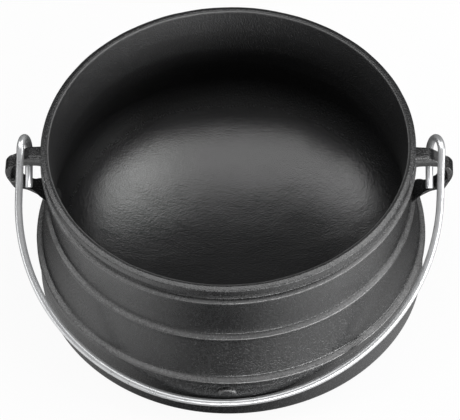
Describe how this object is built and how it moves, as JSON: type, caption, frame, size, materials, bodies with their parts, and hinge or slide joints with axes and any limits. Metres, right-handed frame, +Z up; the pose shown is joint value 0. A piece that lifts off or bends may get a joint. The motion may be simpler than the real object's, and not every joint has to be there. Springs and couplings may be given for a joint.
{
  "type": "cast iron pot",
  "caption": "Squat round cast iron cooking pot with raised ribs, strap ears and a swinging wire bail handle.",
  "frame": {"origin": "centre of the underside, on the surface that the pot stands on", "axes": "+Z up, -Y towards the front, where the bail rests, X along the bail's hinge axis through both ears"},
  "size_m": [0.2982, 0.2685, 0.1255],
  "materials": {
    "cast_iron": "seasoned black cast iron, fine sand-cast grain, satin",
    "bail_wire": "bright drawn and plated steel wire"
  },
  "bodies": {
    "pot": {"pot_body": "cast_iron", "foot_ring": "cast_iron", "left_ear": "cast_iron", "right_ear": "cast_iron"},
    "bail": {"bail": "bail_wire"}
  },
  "joints": [
    {"name": "bail_swing", "type": "hinge", "parent": "pot", "child": "bail", "pos_m": [0, 0, 0.11175], "axis": [-1, 0, 0], "range_deg": [0, 249.6]}
  ]
}
